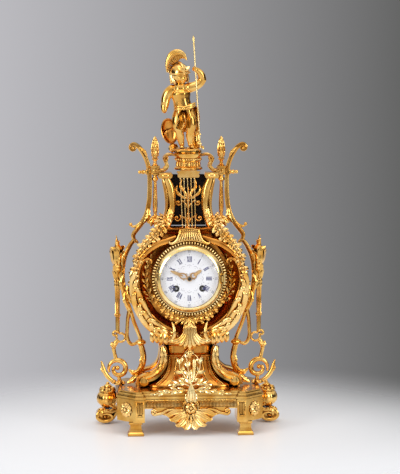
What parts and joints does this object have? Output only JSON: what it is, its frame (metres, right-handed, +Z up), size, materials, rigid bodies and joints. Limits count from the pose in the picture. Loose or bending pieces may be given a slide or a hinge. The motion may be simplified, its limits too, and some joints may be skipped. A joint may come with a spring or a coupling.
{
  "type": "mantel clock",
  "caption": "Gilt-bronze mantel clock in the form of a lyre, with an enamel dial in a hinged bezel, a going train that turns, and a standing figure on top.",
  "frame": {"origin": "centre of the clock's box, on the surface that it stands on", "axes": "+Z up; the dial faces -Y; +X is to the viewer's right, seen from the front"},
  "size_m": [0.296, 0.143, 0.63],
  "materials": {
    "gilt_bronze": "mercury-gilt bronze, satin with bright edges",
    "chased_gilt": "chased gilt bronze, lighter and finely matted",
    "burnished_gilt": "burnished gilt bronze, deep orange gold and glossy",
    "movement_brass": "polished movement brass",
    "steel": "polished and blued steel",
    "black_cloth": "black cloth on a board",
    "enamel": "white glass enamel on copper, glossy",
    "glass": "clear, flat, polished"
  },
  "bodies": {
    "case": {"base_plinth": "gilt_bronze", "corner_blocks": "gilt_bronze", "side_consoles": "gilt_bronze", "front_apron": "chased_gilt", "base_rosettes": "chased_gilt", "pedestal": "burnished_gilt", "egg_collar": "gilt_bronze", "front_trophy": "chased_gilt", "centre_palmette": "chased_gilt", "base_nuts": "steel", "lyre_body": "burnished_gilt", "garlands": "chased_gilt", "acanthus_leaves": "chased_gilt", "dial_laurel": "gilt_bronze", "neck_arms": "gilt_bronze", "neck_panel": "black_cloth", "neck_fret": "gilt_bronze", "string_bar": "gilt_bronze", "strings": "chased_gilt", "entablature": "gilt_bronze", "top_brackets": "gilt_bronze", "top_palmette": "chased_gilt", "figure_plinth": "gilt_bronze", "putto_figure": "gilt_bronze", "shield": "burnished_gilt", "spear": "chased_gilt", "outer_arm_left": "gilt_bronze", "outer_arm_right": "gilt_bronze", "column_left": "gilt_bronze", "column_right": "gilt_bronze", "pine_cones": "chased_gilt", "yoke_rods": "gilt_bronze", "torch_left": "gilt_bronze", "torch_right": "gilt_bronze", "lower_bracket_left": "gilt_bronze", "lower_bracket_right": "gilt_bronze", "drum_case": "movement_brass", "gadroon_ring": "chased_gilt", "hinge_pins": "steel", "dial": "enamel", "front_plate": "movement_brass", "back_plate": "movement_brass", "bell": "steel"},
    "bezel": {"bezel": "chased_gilt", "bezel_glass": "glass"},
    "rear_door": {"rear_door": "movement_brass"},
    "minute": {"centre_arbor": "movement_brass", "minute_hand": "chased_gilt"},
    "hour": {"hour_hand": "chased_gilt"},
    "minute_wheel": {"minute_wheel": "movement_brass"},
    "intermediate": {"intermediate_wheel": "movement_brass"},
    "going_barrel": {"going_barrel": "movement_brass"},
    "third": {"third_wheel": "movement_brass"},
    "escape": {"escape_wheel": "movement_brass"},
    "going_arbor": {"going_arbor": "steel"},
    "strike_arbor": {"strike_arbor": "steel"},
    "strike_barrel": {"strike_barrel": "movement_brass"},
    "pendulum": {"pendulum": "movement_brass", "pallets": "steel"},
    "hammer": {"hammer": "steel"}
  },
  "joints": [
    {"name": "bezel_hinge", "type": "hinge", "parent": "case", "child": "bezel", "pos_m": [0.0554, -0.0324, 0.245], "axis": [0, 0, 1], "range_deg": [0, 100]},
    {"name": "rear_door_hinge", "type": "hinge", "parent": "case", "child": "rear_door", "pos_m": [0.0528, 0.058, 0.245], "axis": [0, 0, -1], "range_deg": [0, 100]},
    {"name": "minute_spin", "type": "hinge", "parent": "case", "child": "minute", "pos_m": [0, 0.01, 0.245], "axis": [0, 1, 0], "continuous": true},
    {"name": "hour_spin", "type": "hinge", "parent": "case", "child": "hour", "pos_m": [0, 0.01, 0.245], "axis": [0, 1, 0], "continuous": true},
    {"name": "minute_wheel_spin", "type": "hinge", "parent": "case", "child": "minute_wheel", "pos_m": [0, 0.01, 0.233], "axis": [0, 1, 0], "continuous": true},
    {"name": "intermediate_spin", "type": "hinge", "parent": "case", "child": "intermediate", "pos_m": [0.01399, 0.01, 0.24558], "axis": [0, 1, 0], "continuous": true},
    {"name": "going_barrel_spin", "type": "hinge", "parent": "case", "child": "going_barrel", "pos_m": [0.021, 0.01, 0.229], "axis": [0, 1, 0], "continuous": true},
    {"name": "third_spin", "type": "hinge", "parent": "case", "child": "third", "pos_m": [-0.005, 0.01, 0.25705], "axis": [0, 1, 0], "continuous": true},
    {"name": "escape_spin", "type": "hinge", "parent": "case", "child": "escape", "pos_m": [0, 0.01, 0.26763], "axis": [0, 1, 0], "continuous": true},
    {"name": "going_arbor_spin", "type": "hinge", "parent": "case", "child": "going_arbor", "pos_m": [0.021, 0.01, 0.229], "axis": [0, 1, 0], "continuous": true},
    {"name": "strike_arbor_spin", "type": "hinge", "parent": "case", "child": "strike_arbor", "pos_m": [-0.021, 0.01, 0.229], "axis": [0, 1, 0], "continuous": true},
    {"name": "strike_barrel_spin", "type": "hinge", "parent": "case", "child": "strike_barrel", "pos_m": [-0.021, 0.01, 0.229], "axis": [0, 1, 0], "continuous": true},
    {"name": "pendulum_swing", "type": "hinge", "parent": "case", "child": "pendulum", "pos_m": [0, 0.01, 0.27824], "axis": [0, 1, 0], "range_deg": [-3, 3]},
    {"name": "hammer_lift", "type": "hinge", "parent": "case", "child": "hammer", "pos_m": [-0.03, 0.01, 0.257], "axis": [0, -1, 0], "range_deg": [0, 12], "stiffness_Nm_per_rad": 0.02, "springref_deg": -8.59}
  ],
  "couplings": [
    {"joint": "hour_spin", "follows": "minute_spin", "ratio": 0.083333},
    {"joint": "minute_wheel_spin", "follows": "minute_spin", "ratio": -0.33333},
    {"joint": "intermediate_spin", "follows": "minute_spin", "ratio": -0.16667},
    {"joint": "going_barrel_spin", "follows": "minute_spin", "ratio": 0.033333},
    {"joint": "third_spin", "follows": "minute_spin", "ratio": -11.429},
    {"joint": "escape_spin", "follows": "minute_spin", "ratio": 137.14}
  ]
}
